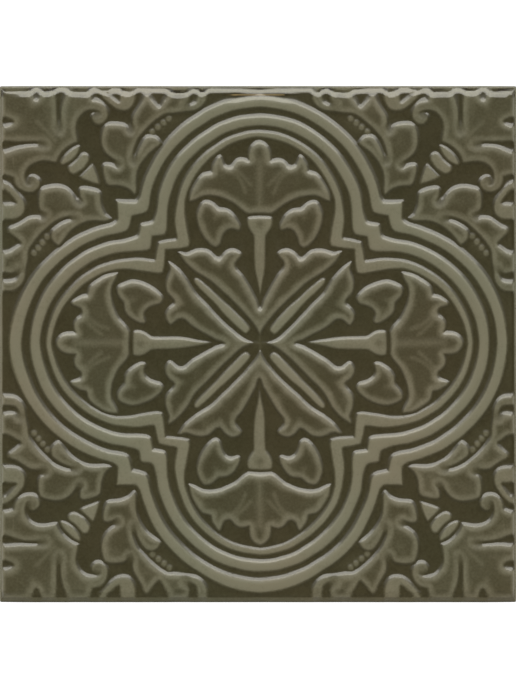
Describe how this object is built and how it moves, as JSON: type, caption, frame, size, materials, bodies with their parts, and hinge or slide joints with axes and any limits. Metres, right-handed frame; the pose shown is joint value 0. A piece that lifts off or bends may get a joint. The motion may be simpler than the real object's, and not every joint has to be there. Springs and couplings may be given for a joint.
{
  "type": "accent tile",
  "caption": "Square glazed ceramic accent tile with a low pressed relief: a woven four-lobed band, leaves and corner palmettes under an olive-brown glaze.",
  "frame": {"origin": "centre of the flat back face", "axes": "+Z out of the glazed face, +X and +Y square to the tile's sides, as the picture shows it with +Y up"},
  "size_m": [0.2, 0.2, 0.0099],
  "materials": {
    "glazed_ceramic": "glossy translucent olive-brown glaze over an unglazed back"
  },
  "bodies": {
    "root": {"accent_tile": "glazed_ceramic"}
  },
  "joints": []
}
